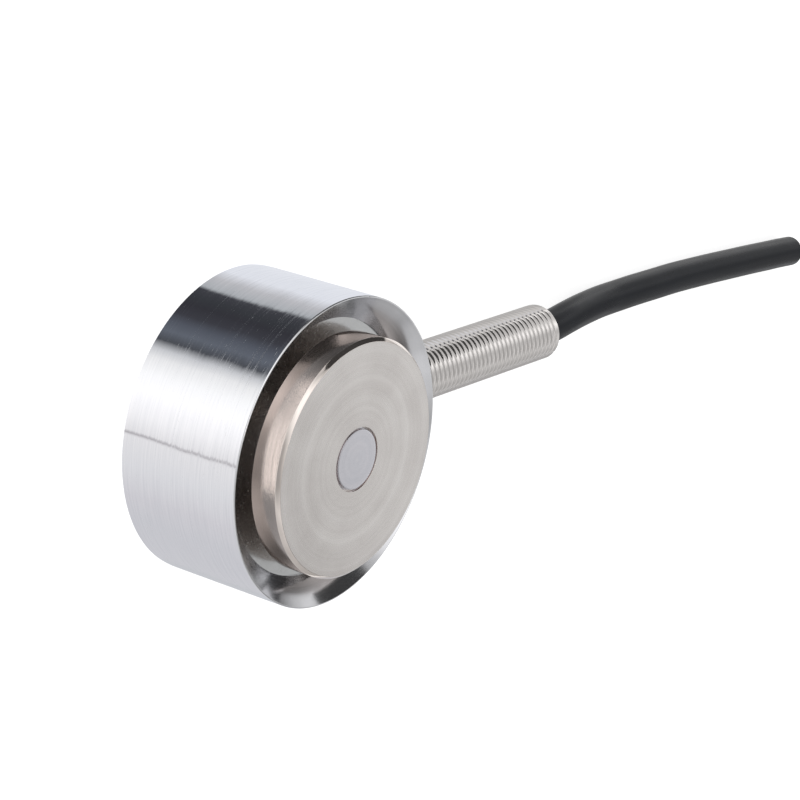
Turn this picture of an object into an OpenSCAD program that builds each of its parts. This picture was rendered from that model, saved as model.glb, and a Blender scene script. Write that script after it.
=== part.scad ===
// Miniature compression load cell: a drum-shaped steel housing with a funnel-shaped recess, a
// load disc that stands proud of the rim, a threaded cable sleeve and a short screened cable.
// The drum stands on its base face at z = 0, its axis is Z, and the cable leaves along +X.

/* [Housing] */
// Outside diameter of the drum
housing_d = 40; // [39:0.5:46]
// Height of the rim above the base face
housing_h = 18; // [17.5:0.5:21]
// Wall of the housing round the sensing element
housing_wall = 2.5; // [2:0.1:3]
// Rounding of the rim's outer edge
rim_round = 0.35; // [0.15:0.05:0.5]
// Flat land left on top of the rim
rim_land = 0.15; // [0.05:0.05:0.4]
// Depth of the funnel from the rim to the membrane
recess_depth = 3.2; // [2.6:0.1:3.8]
// Reach of the funnel's lip over the sensing element
lip_overlap = 0.9; // [0.5:0.1:1.3]
// Height of the upright land at the funnel's inner edge
lip_land = 0.25; // [0.1:0.05:0.4]
// Chamfer round the bottom edge of the housing
base_chamfer = 0.3; // [0.1:0.05:0.6]
// Chamfer on both sides of the weld seam round the base cover
seam_chamfer = 0.15; // [0.05:0.05:0.3]

/* [Sensing element] */
// Thickness of the element's outer ring
element_ring = 2.9; // [2.4:0.1:3.4]
// Thickness of the bending membrane
membrane_t = 2; // [1.4:0.1:2.6]
// Diameter of the central hub
hub_d = 14; // [12:0.5:15]
// Drop of the hub below the membrane
hub_drop = 3; // [1.5:0.25:4]
// Height of the hub's neck between the membrane and the load disc
neck_h = 2.1; // [1.6:0.1:2.8]
// Fillet where the membrane runs into the hub and the ring
membrane_fillet = 0.5; // [0.2:0.1:0.8]

/* [Load disc] */
// Diameter of the load disc
disc_d = 30.8; // [27:0.2:31.6]
// Thickness of the load disc
disc_t = 4.1; // [3:0.1:5]
// Chamfer round the load face
disc_chamfer = 0.45; // [0.2:0.05:0.7]
// Diameter of the centre stud
stud_d = 8; // [6:0.25:9]
// Depth to which the stud is pressed into the hub
stud_seat = 5; // [3.5:0.25:6]
// Chamfer on both sides of the joint round the stud's face
stud_chamfer = 0.1; // [0.05:0.05:0.25]

/* [Base cover] */
// Thickness of the base cover
cover_t = 1.5; // [1:0.1:1.8]

/* [Strain gauges] */
// Clearance between a gauge's carrier film and the fillets at the hub and the ring
gauge_clearance = 0.7; // [0.3:0.05:1]
// Width of a gauge's carrier film
gauge_w = 3.6; // [3.2:0.1:4.4]
// Thickness of the carrier film
carrier_t = 0.1; // [0.06:0.02:0.16]
// Thickness of the foil grid
foil_t = 0.05; // [0.04:0.01:0.1]
// Bare carrier film left before and behind the foil
carrier_margin = 0.7; // [0.4:0.05:1]
// Number of lines in the grid
grid_lines = 9; // [5:2:9]
// Width of a grid line, and of the gap beside it
grid_pitch = 0.28; // [0.2:0.02:0.3]
// Length of a solder tab along the radius
tab_l = 1; // [0.8:0.1:1.2]
// Diameter of the solder dot on a tab
tab_dot_d = 0.7; // [0.5:0.05:0.8]
// Height of the solder dot on a tab
tab_dot_h = 0.3; // [0.2:0.05:0.4]
// Diameter of a solder dot where its lead comes out
tab_dot_tip_d = 0.35; // [0.3:0.05:0.5]
// Diameter of a gauge lead
lead_d = 0.2; // [0.12:0.02:0.3]

/* [Bridge board] */
// Diameter of the round board
board_d = 22; // [20:0.5:24]
// Thickness of the board
board_t = 0.8; // [0.5:0.1:1]
// Distance from the board's edge in to the edge of the adhesive pad under it
pad_inset = 2; // [0.5:0.25:4]
// Thickness of the adhesive pad
pad_t = 0.5; // [0.2:0.05:0.6]
// Length of a chip resistor
chip_l = 2; // [1.6:0.1:2.4]
// Width of a chip resistor
chip_w = 1.25; // [0.8:0.05:1.6]
// Height of a chip resistor
chip_h = 0.5; // [0.3:0.05:0.6]
// Length of a chip resistor's tinned end
chip_end_l = 0.4; // [0.25:0.05:0.6]
// Thickness of the tin round a chip resistor's end
chip_tin = 0.025; // [0.01:0.005:0.05]
// Distance between the chip resistors
chip_pitch = 2.4; // [2:0.1:2.8]
// Distance from the board's edge to the middle of a lead's solder joint
joint_inset = 0.9; // [0.8:0.1:1.4]
// Diameter of a gauge lead's solder joint
lead_joint_d = 1.2; // [0.8:0.1:1.4]
// Diameter of a gauge lead's solder joint at its top
lead_joint_tip_d = 0.6; // [0.4:0.05:0.8]
// Height of a gauge lead's solder joint
lead_joint_h = 0.4; // [0.3:0.05:0.6]
// Diameter of a core's solder joint
core_joint_d = 1.6; // [1.2:0.1:1.8]
// Diameter of a core's solder joint at its top
core_joint_tip_d = 0.8; // [0.7:0.05:1]
// Height of a core's solder joint
core_joint_h = 0.5; // [0.3:0.05:0.6]
// Distance between the cores' solder joints
core_joint_pitch = 2.6; // [2.2:0.1:3]

/* [Cable sleeve] */
// Outside diameter over the sleeve's thread
sleeve_d = 8; // [7.4:0.1:8.6]
// Length of the sleeve outside the drum
sleeve_out = 44; // [38:1:50]
// Height of the sleeve's axis above the base face
sleeve_z = 5; // [4.8:0.1:5.6]
// Chamfer at the sleeve's outer end
sleeve_chamfer = 0.6; // [0.3:0.05:0.8]
// Pitch of the sleeve's outside thread
thread_pitch = 1; // [0.75:0.25:1.25]
// Depth of the thread
thread_depth = 0.55; // [0.3:0.05:0.6]
// Turns of the thread that one ridge stands for
turns_per_ridge = 2; // [1:1:4]
// Smooth length left between the drum and the thread
thread_land = 0.9; // [0.5:0.1:3]
// Least smooth length left between the thread and the end's chamfer
thread_end_land = 0.4; // [0.2:0.1:1]
// Depth of the spot face cut into the drum for the sleeve's shoulder
spot_depth = 0.5; // [0.45:0.05:0.8]
// Clearance round the sleeve in the spot face
spot_clearance = 0.15; // [0.05:0.05:0.3]
// Diameter of the spigot pressed into the drum
spigot_d = 6; // [5:0.1:6.2]
// Reach of the spigot past the element's ring into the cavity
spigot_reach = 0.3; // [0.1:0.1:0.8]
// Diameter of the bore through the spigot, for the cores
lead_bore_d = 3.4; // [3.3:0.1:4]
// Length of the narrow bore
lead_bore_l = 10; // [7:0.5:13]
// Length of the potting behind the jacket's end
potting_l = 4; // [2:0.5:6]
// Length of the crimp ferrule on the jacket's end
ferrule_l = 6; // [4:0.5:8]
// Length of the sealing bush in the sleeve's mouth
bush_l = 10; // [6:0.5:14]
// Wall of the sealing bush and of the ferrule
bush_wall = 0.5; // [0.3:0.05:0.6]
// Depth of the bush below the sleeve's end face
bush_sunk = 0.5; // [0.2:0.1:1]

/* [Cable] */
// Outside diameter of the cable
cable_d = 4.8; // [4.7:0.1:5]
// Thickness of the jacket
jacket_t = 0.55; // [0.4:0.05:0.6]
// Thickness of the braided shield
shield_t = 0.15; // [0.1:0.02:0.16]
// Diameter of an insulated core
core_d = 1.2; // [1:0.05:1.24]
// Diameter of the stranded conductor in a core
conductor_d = 0.64; // [0.4:0.04:0.8]
// Distance from the cable's centre to the middle of a core
core_r = 0.95; // [0.93:0.01:1]
// Diameter of the filler string between the cores
filler_d = 0.6; // [0.3:0.05:0.62]

/* [Hidden] */
$fn = 96;
eps = 0.01;

// Radii of the drum's nested parts, from the outside in
housing_r = housing_d / 2;
element_r = housing_r - housing_wall;
lip_r = element_r - lip_overlap;
cavity_r = element_r - element_ring;
hub_r = hub_d / 2;
rim_r = housing_r - rim_round - rim_land;

// Straight lines that stand for a quarter circle in a turned outline
round_steps = 6;
fillet_steps = 4;

// Heights, from the base up
membrane_top = housing_h - recess_depth;
membrane_bottom = membrane_top - membrane_t;
hub_bottom = membrane_bottom - hub_drop;
disc_bottom = membrane_top + neck_h;
disc_top = disc_bottom + disc_t;
stud_bottom = disc_bottom - stud_seat;
board_bottom = cover_t + pad_t;
board_top = board_bottom + board_t;

// The gauges sit half way between the hub and the ring, between the axes
gauge_r = (hub_r + cavity_r) / 2;
gauge_l = cavity_r - hub_r - 2 * (membrane_fillet + gauge_clearance);
gauge_angles = [45, 135, 225, 315];
foil_z = membrane_bottom - carrier_t;
tab_dot_z = foil_z - foil_t;
lead_top = tab_dot_z - tab_dot_h;
line_w = grid_pitch / 2;
grid_w = grid_pitch * (grid_lines - 1) + line_w;
tab_w = (grid_w - grid_pitch) / 2;
tab_y = (grid_w - tab_w) / 2;
foil_l = gauge_l - 2 * carrier_margin;
grid_l = foil_l - tab_l;
tab_x = (foil_l - tab_l) / 2;

// The board carries the solder joints on a circle and the chip resistors in a row across it
pad_d = board_d - 2 * pad_inset;
joint_r = board_d / 2 - joint_inset;
lead_joint_angle = 9;
chip_places = [-1.5, -0.5, 0.5, 1.5];
core_joint_places = [1.5, 0.5, -0.5, -1.5];
core_joint_x = joint_r - core_joint_d;
core_joint_top = board_top + core_joint_h;
solder_sides = 24;

// Places along the sleeve, measured from the drum's axis
shoulder_x = housing_r - spot_depth;
spigot_x = sqrt(cavity_r * cavity_r - spigot_d * spigot_d / 4) - spigot_reach;
sleeve_end_x = housing_r + sleeve_out;
thread_x = housing_r + thread_land;
ridge_pitch = thread_pitch * turns_per_ridge;
ridges = floor((sleeve_end_x - sleeve_chamfer - thread_end_land - thread_x) / ridge_pitch);
bore_x = spigot_x + lead_bore_l;
jacket_x = bore_x + potting_l;
exit_x = sleeve_end_x - bush_sunk;
cable_bore_d = cable_d + 2 * bush_wall;

// The cable's route beyond the bush: distance along X, sideways shift, and the share of the
// sleeve's height above the resting cable that is left
cable_route = [[0, 0, 1], [4, 0.1, 0.96], [8, 0.3, 0.8], [12, 0.3, 0.55], [16, 0.2, 0.3],
    [20, 0.1, 0.1], [24, 0, 0], [30, 0, 0], [36, -0.1, 0], [42, -0.2, 0], [48, -0.45, 0],
    [54, -0.75, 0], [60, -1.1, 0], [66, -1.45, 0], [72, -1.85, 0], [76, -2.1, 0], [80, -2.4, 0]];
route_step = 2;
cable_r = cable_d / 2;
free_path = [for (i = [0:route_step:len(cable_route) - 1]) let (p = cable_route[i])
    [exit_x + p[0], p[1], cable_r + (sleeve_z - cable_r) * p[2]]];
cable_path = concat([[jacket_x, 0, sleeve_z]], free_path);

// The cores lie at the corners of a square round the filler
core_colours = ["red", "black", "green", "white"];
core_paints = ["#b3262a", "#1d1d1f", "#2c7a46", "#e6e4de"];
core_corner = core_r / sqrt(2);
core_offsets = [[core_corner, core_corner], [-core_corner, core_corner],
    [-core_corner, -core_corner], [core_corner, -core_corner]];
fan_steps = 8;
stripped_steps = 2;
straight_end = 0.3;

// Flat sides round a swept lead, core and cable
lead_sides = 6;
core_sides = 8;
cable_sides = 12;

// Unit vector along v
function unit(v) = v / norm(v);

// Direction of a path at its point i
function heading(path, i) = unit(path[min(i + 1, len(path) - 1)] - path[max(i - 1, 0)]);

// The two directions across a path that runs along t
function across(t) = let (s = unit(cross([0, 1, 0], t))) [s, cross(t, s)];

// A path shifted by the same amounts across its own direction all along
function beside(path, shift) = [for (i = [0:len(path) - 1]) let (d = across(heading(path, i)))
    path[i] + shift[0] * d[0] + shift[1] * d[1]];

// Point at t on the cubic curve with the control points c
function curve_point(c, t) = pow(1 - t, 3) * c[0] + 3 * t * pow(1 - t, 2) * c[1]
    + 3 * t * t * (1 - t) * c[2] + pow(t, 3) * c[3];

// Ring of points round point i of a path
function ring(path, i, r, sides) = let (d = across(heading(path, i)))
    [for (k = [0:sides - 1]) let (a = 360 * (k + 0.5) / sides)
        path[i] + r * cos(a) * d[0] + r * sin(a) * d[1]];

// Side faces between the rings that start at point number start, turned inwards or outwards
function skin(start, rings, sides, inwards) = [for (i = [0:rings - 2], k = [0:sides - 1])
    let (a = start + i * sides + k, b = start + i * sides + (k + 1) % sides,
        c = b + sides, d = a + sides)
    each inwards ? [[c, b, a], [d, c, a]] : [[a, b, c], [a, c, d]]];

// Solid tube or round bar swept along a path, from its point number first to its end
module swept(path, r, r_in = 0, sides = core_sides, first = 0) {
    stop = len(path) - 1;
    rings = stop - first + 1;
    inner = rings * sides;
    outer_points = [for (i = [first:stop]) each ring(path, i, r, sides)];
    inner_points = r_in > 0 ? [for (i = [first:stop]) each ring(path, i, r_in, sides)] : [];
    end = (rings - 1) * sides;
    caps = r_in > 0
        ? [for (k = [0:sides - 1]) let (n = (k + 1) % sides)
            each [[n, k, inner + k, inner + n],
                [end + k, end + n, inner + end + n, inner + end + k]]]
        : [[for (k = [sides - 1:-1:0]) k], [for (k = [0:sides - 1]) end + k]];
    walls = r_in > 0
        ? concat(skin(0, rings, sides, false), skin(inner, rings, sides, true))
        : skin(0, rings, sides, false);
    polyhedron(points = concat(outer_points, inner_points), faces = concat(walls, caps));
}

// Cylinder along +X from x = x0 to x = x1 on the sleeve's axis
module sleeve_bar(x0, x1, d) {
    translate([x0, 0, sleeve_z]) rotate([0, 90, 0]) cylinder(h = x1 - x0, d = d);
}

// Drum wall with the funnel-shaped lip over the sensing element, turned from bar
module housing() {
    color("#c9cbd0") difference() {
        rotate_extrude() polygon(concat(
            [[element_r + seam_chamfer, 0], [housing_r - base_chamfer, 0], [housing_r, base_chamfer]],
            [for (i = [0:round_steps]) let (a = 90 * i / round_steps)
                [housing_r - rim_round + rim_round * cos(a),
                    housing_h - rim_round + rim_round * sin(a)]],
            [[rim_r, housing_h], [lip_r, membrane_top + lip_land], [lip_r, membrane_top],
                [element_r, membrane_top], [element_r, seam_chamfer]]));
        sleeve_bar(shoulder_x, housing_r + eps, sleeve_d + 2 * spot_clearance);
        sleeve_bar(0, housing_r, spigot_d);
    }
}

// Quarter of a fillet circle round [r, z], from the angle start to the angle stop
function fillet(r, z, start, stop) = [for (i = [0:fillet_steps])
    let (a = start + (stop - start) * i / fillet_steps)
        [r + membrane_fillet * cos(a), z + membrane_fillet * sin(a)]];

// Spring element: outer ring, bending membrane and central hub in one turned piece
module sensing_element() {
    hub_side = hub_r + membrane_fillet;
    ring_side = cavity_r - membrane_fillet;
    color("#b9bbbd") difference() {
        rotate_extrude() polygon(concat(
            [[0, hub_bottom], [hub_r, hub_bottom]],
            fillet(hub_side, membrane_bottom - membrane_fillet, 180, 90),
            fillet(ring_side, membrane_bottom - membrane_fillet, 90, 0),
            [[cavity_r, cover_t], [element_r, cover_t], [element_r, membrane_top]],
            fillet(hub_side, membrane_top + membrane_fillet, 270, 180),
            [[hub_r, disc_bottom], [0, disc_bottom]]));
        translate([0, 0, stud_bottom]) cylinder(h = stud_seat + eps, d = stud_d);
        sleeve_bar(cavity_r - element_ring, element_r + eps, spigot_d);
    }
}

// Load disc: the ring-shaped plate that takes the load, pressed over the stud
module load_disc() {
    disc_r = disc_d / 2;
    stud_r = stud_d / 2;
    color("#b9afac") rotate_extrude() polygon([
        [stud_r, disc_bottom], [disc_r, disc_bottom], [disc_r, disc_top - disc_chamfer],
        [disc_r - disc_chamfer, disc_top], [stud_r + stud_chamfer, disc_top],
        [stud_r, disc_top - stud_chamfer]]);
}

// Hardened stud through the load disc into the hub, ground flush with the load face
module centre_stud() {
    stud_r = stud_d / 2;
    color("#b2b2b8") rotate_extrude() polygon([
        [0, stud_bottom], [stud_r, stud_bottom], [stud_r, disc_top - stud_chamfer],
        [stud_r - stud_chamfer, disc_top], [0, disc_top]]);
}

// Flat plate that closes the drum, flush with the base and welded round its edge
module base_cover() {
    color("#c3c4c6") rotate_extrude() polygon([
        [0, 0], [element_r - seam_chamfer, 0], [element_r, seam_chamfer],
        [element_r, cover_t], [0, cover_t]]);
}

// Carrier film of strain gauge k, bonded under the membrane
module strain_gauge(k) {
    color("#c8842c") rotate(gauge_angles[k - 1])
        translate([gauge_r - gauge_l / 2, -gauge_w / 2, foil_z])
            cube([gauge_l, gauge_w, carrier_t]);
}

// Foil of strain gauge k: lines along the radius, joined end to end, and two solder tabs
module gauge_grid(k) {
    grid_x = -foil_l / 2;
    color("#a9a7a0") rotate(gauge_angles[k - 1]) translate([gauge_r, 0, tab_dot_z])
        linear_extrude(foil_t) union() {
            for (i = [0:grid_lines - 1])
                translate([grid_x, i * grid_pitch - grid_w / 2]) square([grid_l, line_w]);
            for (i = [0:grid_lines - 2])
                translate([i % 2 == 0 ? grid_x : grid_x + grid_l - line_w,
                    i * grid_pitch - grid_w / 2]) square([line_w, grid_pitch + line_w]);
            for (side = [-1, 1])
                translate([tab_x - tab_l / 2 - eps, side * tab_y - tab_w / 2])
                    square([tab_l + eps, tab_w]);
        }
}

// Solder dots on the eight gauge tabs
module gauge_solder() {
    color("#d4d6d8") for (a = gauge_angles, side = [-1, 1])
        rotate(a) translate([gauge_r + tab_x, side * tab_y, lead_top])
            cylinder(h = tab_dot_h, d1 = tab_dot_tip_d, d2 = tab_dot_d, $fn = solder_sides);
}

// The two enamelled leads of gauge k, from its tabs down to the board
module gauge_leads(k) {
    lead_bottom = board_top + lead_joint_h;
    slack = (lead_top - lead_bottom) / 3;
    color("#b5602f") rotate(gauge_angles[k - 1]) for (side = [-1, 1]) {
        from = [gauge_r + tab_x, side * tab_y, lead_top - straight_end];
        to = [joint_r * cos(lead_joint_angle), side * joint_r * sin(lead_joint_angle),
            lead_bottom + straight_end];
        bend = [from, from - [0, 0, slack], to + [0, 0, slack], to];
        swept(concat([from + [0, 0, straight_end]],
            [for (i = [0:fan_steps]) curve_point(bend, i / fan_steps)],
            [to - [0, 0, straight_end]]), lead_d / 2, sides = lead_sides);
    }
}

// Adhesive pad between the cover and the board
module adhesive_pad() {
    color("#8d8f8a") translate([0, 0, cover_t]) cylinder(h = pad_t, d = pad_d);
}

// Round board that closes the bridge and joins it to the cores
module bridge_board() {
    color("#2f6b45") translate([0, 0, board_bottom]) cylinder(h = board_t, d = board_d);
}

// Solder joints on the board, for the gauge leads and the cores
module board_solder() {
    color("#d4d6d8") {
        for (a = gauge_angles, side = [-1, 1])
            rotate(a + side * lead_joint_angle) translate([joint_r, 0, board_top])
                cylinder(h = lead_joint_h, d1 = lead_joint_d, d2 = lead_joint_tip_d,
                    $fn = solder_sides);
        for (s = core_joint_places)
            translate([core_joint_x, s * core_joint_pitch, board_top])
                cylinder(h = core_joint_h, d1 = core_joint_d, d2 = core_joint_tip_d,
                    $fn = solder_sides);
    }
}

// Chip resistor number k in the row across the board, with its two tinned ends
module chip(k, body_colour) {
    translate([0, chip_places[k - 1] * chip_pitch, board_top]) {
        color(body_colour) translate([-chip_l / 2, -chip_w / 2, 0]) cube([chip_l, chip_w, chip_h]);
        color("#d4d6d8") for (x = [-chip_l / 2 - chip_tin, chip_l / 2 - chip_end_l])
            translate([x, -chip_w / 2 - chip_tin, 0])
                cube([chip_end_l + chip_tin, chip_w + 2 * chip_tin, chip_h + chip_tin]);
    }
}

// Trimming resistor k of three
module trim_resistor(k) {
    chip(k, "#26282c");
}

// Nickel resistor that corrects the span for temperature
module temperature_resistor() {
    chip(4, "#3b5d8c");
}

// Threaded sleeve that leads the cable out, with a spigot pressed into the drum. Ridges that run
// straight round it stand for the turns of its fine thread.
module cable_sleeve() {
    spigot_r = spigot_d / 2;
    sleeve_r = sleeve_d / 2;
    color("#c2bdb8") difference() {
        translate([0, 0, sleeve_z]) rotate([0, 90, 0]) rotate_extrude() polygon(concat(
            [[0, spigot_x], [spigot_r, spigot_x], [spigot_r, shoulder_x], [sleeve_r, shoulder_x]],
            [for (i = [0:ridges - 1]) each [
                [sleeve_r, thread_x + i * ridge_pitch],
                [sleeve_r - thread_depth, thread_x + (i + 0.5) * ridge_pitch]]],
            [[sleeve_r, thread_x + ridges * ridge_pitch],
                [sleeve_r, sleeve_end_x - sleeve_chamfer],
                [sleeve_r - sleeve_chamfer, sleeve_end_x], [0, sleeve_end_x]]));
        sleeve_bar(spigot_x - eps, bore_x + eps, lead_bore_d);
        sleeve_bar(bore_x, sleeve_end_x + eps, cable_bore_d);
    }
}

// Ring in the sleeve's bore, round the cable, from x0 to x1
module bore_ring(x0, x1) {
    difference() {
        sleeve_bar(x0, x1, cable_bore_d);
        sleeve_bar(x0 - eps, x1 + eps, cable_d);
    }
}

// Rubber bush that seals the cable in the sleeve's mouth
module sealing_bush() {
    color("#222224") bore_ring(exit_x - bush_l, exit_x);
}

// Ferrule crimped on the jacket's end, which holds the cable in the sleeve
module crimp_ferrule() {
    color("#c9a85a") bore_ring(jacket_x, jacket_x + ferrule_l);
}

// Cast resin that fills the bore round the cores behind the jacket's end
module potting_plug() {
    color("#4a4238") difference() {
        sleeve_bar(bore_x, jacket_x, cable_bore_d);
        for (c = core_offsets)
            translate([bore_x - eps, c[1], sleeve_z - c[0]]) rotate([0, 90, 0])
                cylinder(h = potting_l + 2 * eps, d = core_d);
    }
}

// Outer jacket of the cable
module cable_jacket() {
    color("#2e2f33") swept(cable_path, cable_r, cable_r - jacket_t,
        sides = cable_sides);
}

// Braided shield under the jacket
module cable_shield() {
    color("#b9b4ac") swept(cable_path, cable_r - jacket_t, cable_r - jacket_t - shield_t,
        sides = cable_sides);
}

// Cotton string between the cores
module cable_filler() {
    color("#ddd8c8") swept(cable_path, filler_d / 2);
}

// Path of core n, from its joint on the board through the sleeve to the cable's cut end
function core_path(n) =
    let (joint = [core_joint_x, core_joint_places[n] * core_joint_pitch,
            core_joint_top + straight_end],
        lay = beside(cable_path, core_offsets[n]),
        mouth = [spigot_x, lay[0][1], lay[0][2]],
        reach = (mouth[0] - joint[0]) / 2,
        bend = [joint, joint + [0, 0, reach], mouth - [reach, 0, 0], mouth])
    concat([joint - [0, 0, straight_end]],
        [for (i = [0:fan_steps]) curve_point(bend, i / fan_steps)], lay);

// Insulation of core n, stripped where it meets its solder joint
module core_insulation(n) {
    color(core_paints[n]) swept(core_path(n), core_d / 2, conductor_d / 2, first = stripped_steps);
}

// Stranded copper conductor of core n
module conductor(n) {
    color("#c07a4a") swept(core_path(n), conductor_d / 2);
}

housing();
sensing_element();
load_disc();
centre_stud();
base_cover();
for (k = [1:4]) {
    strain_gauge(k);
    gauge_grid(k);
    gauge_leads(k);
}
gauge_solder();
adhesive_pad();
bridge_board();
board_solder();
for (k = [1:3])
    trim_resistor(k);
temperature_resistor();
cable_sleeve();
sealing_bush();
crimp_ferrule();
potting_plug();
cable_jacket();
cable_shield();
cable_filler();
for (n = [0:3]) {
    core_insulation(n);
    conductor(n);
}
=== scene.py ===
import math

import bpy
from mathutils import Matrix, Vector


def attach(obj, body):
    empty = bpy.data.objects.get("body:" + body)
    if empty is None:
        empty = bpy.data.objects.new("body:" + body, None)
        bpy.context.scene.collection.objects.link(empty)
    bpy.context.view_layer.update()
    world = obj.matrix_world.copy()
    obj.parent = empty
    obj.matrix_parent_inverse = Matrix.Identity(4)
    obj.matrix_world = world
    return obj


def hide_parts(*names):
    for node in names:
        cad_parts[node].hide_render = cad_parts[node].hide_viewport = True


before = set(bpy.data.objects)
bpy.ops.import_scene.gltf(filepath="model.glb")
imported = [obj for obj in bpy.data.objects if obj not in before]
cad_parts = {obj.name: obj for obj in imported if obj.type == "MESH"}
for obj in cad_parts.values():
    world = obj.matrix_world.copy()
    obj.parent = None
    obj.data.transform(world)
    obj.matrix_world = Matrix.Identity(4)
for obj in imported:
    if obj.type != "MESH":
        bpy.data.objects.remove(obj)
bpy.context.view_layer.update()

MM = 0.001
scene = bpy.context.scene
scene.view_settings.view_transform = "Standard"
# The polished faces mirror each other many times across the gap under the disc
scene.cycles.glossy_bounces = 10


# Camera. A long lens, above the drum and to its left, turned so that the drum's axis points to
# the lower right of the picture, as in the photograph.
lens_pixels = 2788.4
picture_pixels = 800
sensor_mm = 36
camera_place = Vector((-0.26169, 0.11439, 0.21099))
camera_right = Vector((0.59421, 0.07560, 0.80075))
camera_up = Vector((0.20863, 0.94701, -0.24423))
camera_data = bpy.data.cameras.new("photo_camera")
camera_data.sensor_width = sensor_mm
camera_data.lens = lens_pixels * sensor_mm / picture_pixels
camera_data.clip_start = 0.01
camera_data.clip_end = 20
camera = bpy.data.objects.new("photo_camera", camera_data)
turn = Matrix((camera_right, camera_up, camera_right.cross(camera_up))).transposed()
camera.matrix_world = Matrix.Translation(camera_place) @ turn.to_4x4()
scene.collection.objects.link(camera)
scene.camera = camera


# World and floor. A white studio: the background is white to the camera, in the metal's
# reflections and through clear things, and lights the object itself at a plain level.
def add_node(tree, kind, inputs=(), **settings):
    """Adds one shader node with its settings; inputs pairs a socket with a value or an output."""
    node = tree.nodes.new("ShaderNode" + kind)
    for name, value in settings.items():
        setattr(node, name, value)
    for socket, value in inputs:
        if isinstance(value, bpy.types.NodeSocket):
            tree.links.new(value, node.inputs[socket])
        else:
            node.inputs[socket].default_value = value
    return node


def linear(code, alpha=1.0):
    """Linear colour of an sRGB hex code."""
    parts = [int(code[i:i + 2], 16) / 255 for i in (1, 3, 5)]
    return tuple(p / 12.92 if p <= 0.04045 else ((p + 0.055) / 1.055) ** 2.4
                 for p in parts) + (alpha,)


def seen_directly(tree):
    """1 where the camera, a reflection or a clear thing looks at a surface, and 0 elsewhere."""
    path = add_node(tree, "LightPath")
    either = add_node(tree, "Math", [(0, path.outputs["Is Camera Ray"]),
                                     (1, path.outputs["Is Glossy Ray"])], operation="MAXIMUM")
    return add_node(tree, "Math", [(0, either.outputs[0]),
                                   (1, path.outputs["Is Transmission Ray"])],
                    operation="MAXIMUM").outputs[0]


world_light = 0.62
world = bpy.data.worlds.new("white_studio")
scene.world = world
world.use_nodes = True
world.node_tree.nodes.clear()
strength = add_node(world.node_tree, "MapRange", [
    ("Value", seen_directly(world.node_tree)), ("To Min", world_light), ("To Max", 1.0)])
sky = add_node(world.node_tree, "Background", [
    ("Color", (1, 1, 1, 1)), ("Strength", strength.outputs[0])])
add_node(world.node_tree, "OutputWorld", [("Surface", sky.outputs[0])])

floor_glow = 0.75
floor_material = bpy.data.materials.new("white_table")
floor_material.use_nodes = True
floor_tree = floor_material.node_tree
floor_tree.nodes.clear()
glow = add_node(floor_tree, "Math", [(0, seen_directly(floor_tree)), (1, floor_glow)],
                operation="MULTIPLY")
lit = add_node(floor_tree, "BsdfDiffuse", [("Color", linear("#c4c4c4"))])
shine = add_node(floor_tree, "Emission", [("Strength", glow.outputs[0])])
both = add_node(floor_tree, "AddShader", [(0, lit.outputs[0]), (1, shine.outputs[0])])
add_node(floor_tree, "OutputMaterial", [("Surface", both.outputs[0])])
bpy.ops.object.select_all(action="DESELECT")
bpy.ops.mesh.primitive_plane_add(size=6, location=(0, 0, -0.02 * MM))
floor = bpy.context.object
floor.name = "studio_floor"
floor.data.materials.append(floor_material)


# Lamps. One large soft lamp above and a smaller one from the side. Metal shows the paper cards
# below in their place.
def soft_lamp(name, place, target, size, watts):
    """Square area lamp that looks from place to target, hidden from mirror reflections."""
    data = bpy.data.lights.new(name, "AREA")
    data.size = size
    data.energy = watts
    lamp = bpy.data.objects.new(name, data)
    lamp.location = place
    lamp.rotation_euler = (Vector(target) - Vector(place)).to_track_quat("-Z", "Y").to_euler()
    lamp.visible_glossy = False
    scene.collection.objects.link(lamp)


soft_lamp("key_lamp", (-0.30, 0.45, 0.55), (0.04, 0, 0), 0.5, 1.4)
soft_lamp("fill_lamp", (-0.35, -0.40, 0.40), (0.04, 0, 0), 0.4, 0.7)


# Cards. The photographer's paper and flags round the drum, which only the metal's reflections
# show: white and grey walls with one black flag, and toned paper on the table.
def card_material(name):
    """Plain light of the tone that the card's points carry, seen in reflections alone."""
    material = bpy.data.materials.new(name)
    material.use_nodes = True
    tree = material.node_tree
    tree.nodes.clear()
    tone = add_node(tree, "VertexColor", layer_name="tone")
    light = add_node(tree, "Emission", [("Color", tone.outputs["Color"])])
    add_node(tree, "OutputMaterial", [("Surface", light.outputs[0])])
    return material


def card(name, rows):
    """Sheet of quads through rows of (point in mm, tone), each row as long as the first."""
    mesh = bpy.data.meshes.new(name)
    corners = [corner for row in rows for corner in row]
    wide = len(rows[0])
    mesh.from_pydata([Vector(point) * MM for point, tone in corners], [], [
        (k, k + 1, k + wide + 1, k + wide)
        for r in range(len(rows) - 1) for k in range(r * wide, (r + 1) * wide - 1)])
    layer = mesh.color_attributes.new("tone", "FLOAT_COLOR", "POINT")
    for i, (point, tone) in enumerate(corners):
        layer.data[i].color = (*tone, 1)
    piece = bpy.data.objects.new(name, mesh)
    piece.data.materials.append(card_material(name))
    piece.visible_camera = piece.visible_diffuse = piece.visible_shadow = False
    piece.visible_transmission = False
    scene.collection.objects.link(piece)


def between(stops, at):
    """Tone at a place between stops of (place, tone)."""
    for (a, low), (b, high) in zip(stops, stops[1:]):
        if a <= at <= b:
            share = (at - a) / (b - a)
            return tuple(x + (y - x) * share for x, y in zip(low, high))
    raise ValueError(f"no tone at {at}")


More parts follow.
